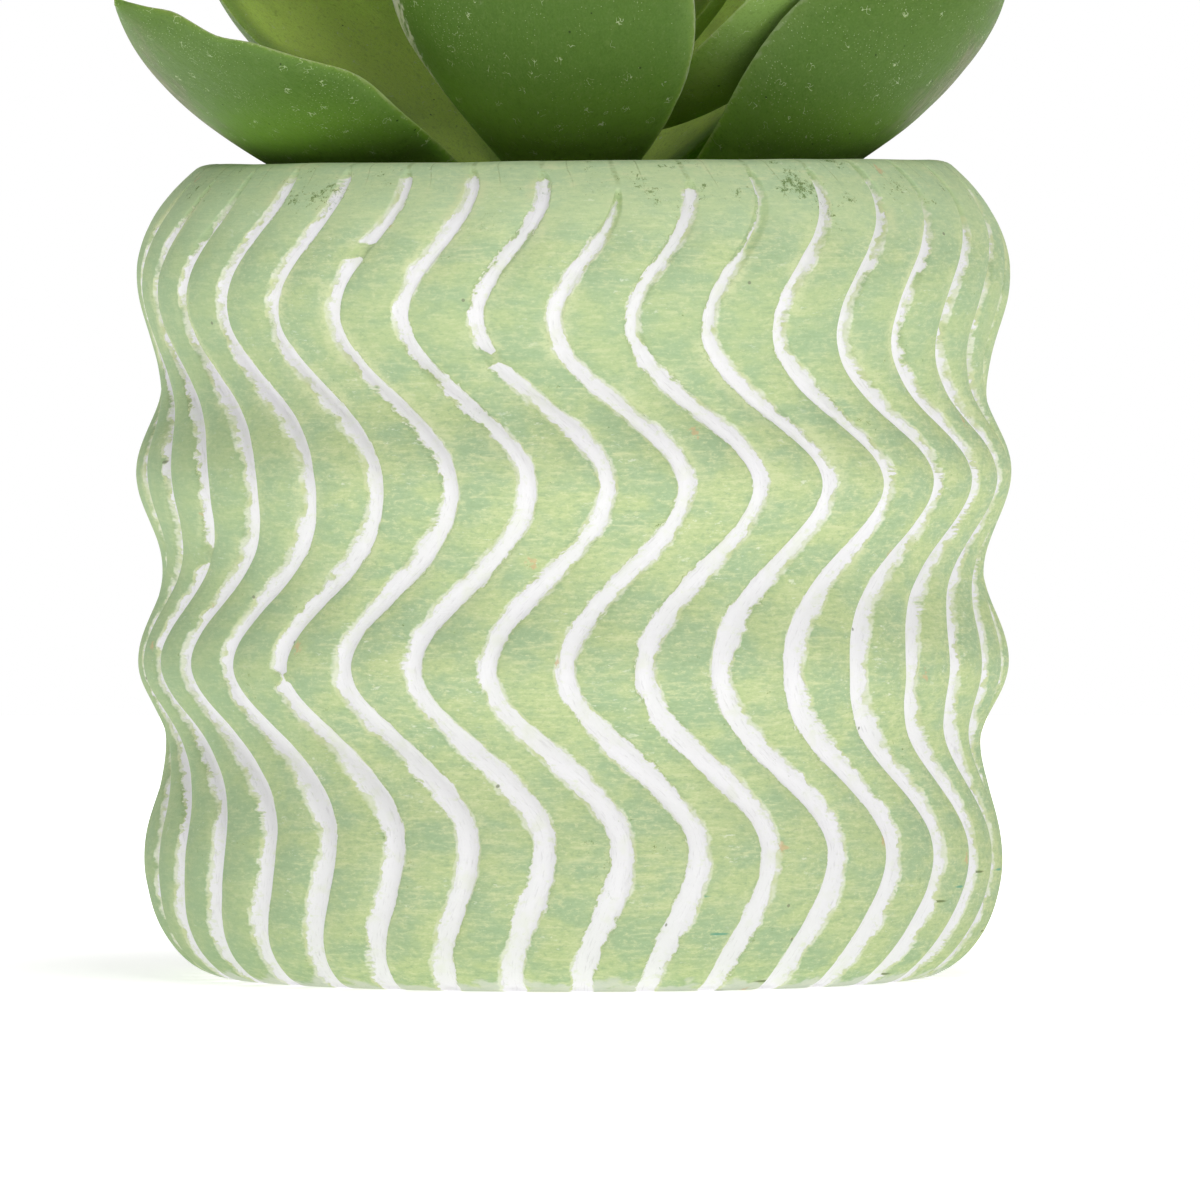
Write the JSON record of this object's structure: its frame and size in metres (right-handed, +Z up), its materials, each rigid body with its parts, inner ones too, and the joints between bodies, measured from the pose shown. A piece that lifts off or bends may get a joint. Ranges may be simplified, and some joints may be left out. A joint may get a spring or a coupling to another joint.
{
  "type": "potted haworthia",
  "caption": "Small broad-leaved rosette succulent standing in a round pot with a softly bulged wall and wavy vertical grooves, rests on its flat foot.",
  "frame": {"origin": "centre of the pot's flat foot", "axes": "+Z up along the pot's axis; -Y towards the front of the pictured view, +X to its right"},
  "size_m": [0.0911, 0.0898, 0.1281],
  "materials": {
    "pot": "matte, green dry-brushed over white",
    "soil": "loose and rough",
    "stem": "satin",
    "outer_leaf": "waxy",
    "middle_leaf": "waxy",
    "inner_leaf": "waxy",
    "bud_leaf": "waxy"
  },
  "bodies": {
    "root": {"pot": "pot", "soil": "soil", "stem": "stem", "leaf_outer_1": "outer_leaf", "leaf_outer_2": "outer_leaf", "leaf_outer_3": "outer_leaf", "leaf_outer_4": "outer_leaf", "leaf_outer_5": "outer_leaf", "leaf_outer_6": "outer_leaf", "leaf_middle_1": "middle_leaf", "leaf_middle_2": "middle_leaf", "leaf_middle_3": "middle_leaf", "leaf_middle_4": "middle_leaf", "leaf_inner_1": "inner_leaf", "leaf_inner_2": "inner_leaf", "leaf_inner_3": "inner_leaf", "leaf_inner_4": "inner_leaf", "leaf_bud_1": "bud_leaf", "leaf_bud_2": "bud_leaf", "leaf_bud_3": "bud_leaf", "leaf_bud_4": "bud_leaf", "leaf_heart": "bud_leaf"}
  },
  "joints": []
}
